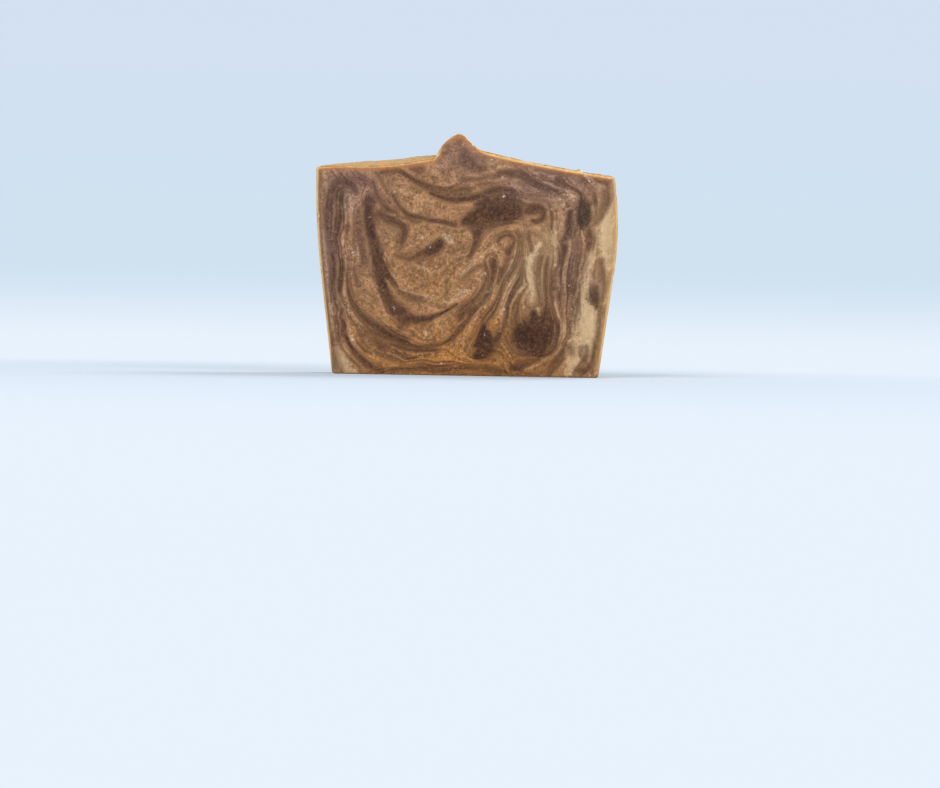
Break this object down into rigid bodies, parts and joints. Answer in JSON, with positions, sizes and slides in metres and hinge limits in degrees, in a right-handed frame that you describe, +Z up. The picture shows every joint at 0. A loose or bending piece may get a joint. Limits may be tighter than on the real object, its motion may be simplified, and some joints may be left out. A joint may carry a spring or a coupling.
{
  "type": "bar of soap",
  "caption": "Hand-cut bar of swirled soap standing on its base, with tapering sides, rubbed edges and a spooned top drawn up into a crest.",
  "frame": {"origin": "middle of the flat base, midway between both cut faces", "axes": "+X across the loaf, to the right in the front view; +Y from the front cut face to the back one; +Z up"},
  "size_m": [0.0912, 0.025, 0.073],
  "materials": {
    "soap": "waxy and matte, with tan, brown and cream swirls, and gold mica on the top"
  },
  "bodies": {
    "root": {"soap_bar": "soap"}
  },
  "joints": []
}
